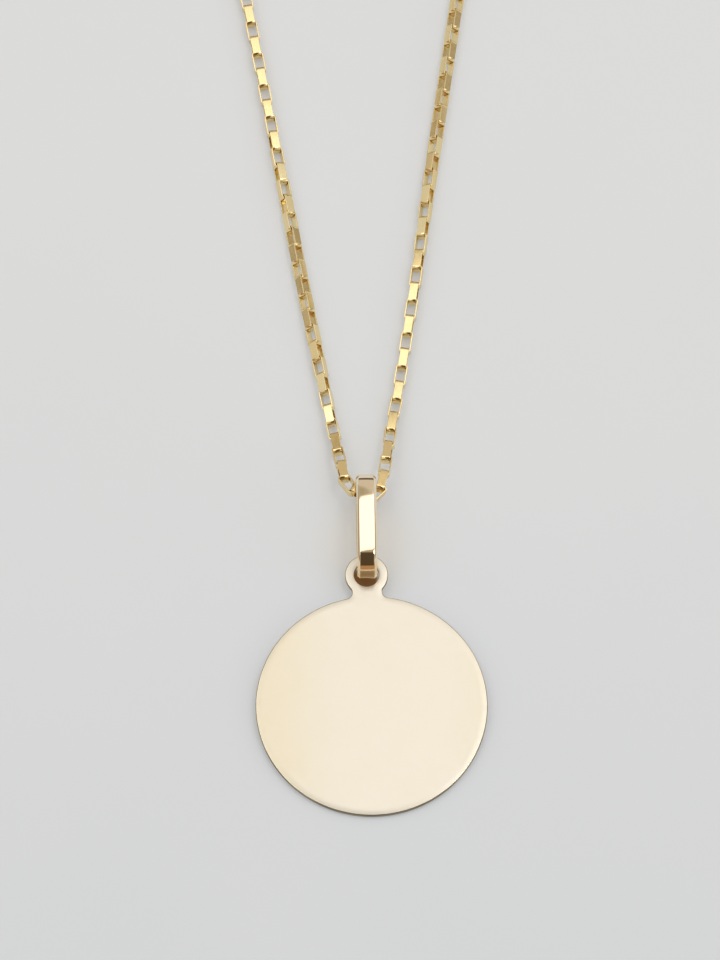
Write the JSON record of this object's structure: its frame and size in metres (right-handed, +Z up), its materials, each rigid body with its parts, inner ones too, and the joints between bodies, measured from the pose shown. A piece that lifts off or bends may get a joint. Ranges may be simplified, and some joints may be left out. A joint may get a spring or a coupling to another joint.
{
  "type": "disc pendant",
  "caption": "Plain round disc pendant with a pierced tab, hung by an upright strap bail on a closed box-link chain with a ring clasp, lying flat.",
  "frame": {"origin": "middle of the bail's flat back, on the surface that the pendant lies on", "axes": "+Y from the disc along the bail and the loop of chain to the clasp; +Z up from the surface; +X to the right, seen from above with the clasp at the top"},
  "size_m": [0.0541, 0.2091, 0.0043],
  "materials": {
    "plate_gold": "polished pale gold",
    "chain_gold": "polished yellow gold"
  },
  "bodies": {
    "root": {"disc": "plate_gold", "bail": "plate_gold", "chain_left": "chain_gold", "chain_right": "chain_gold", "clasp": "chain_gold", "ring_left": "chain_gold", "ring_right": "chain_gold"}
  },
  "joints": []
}
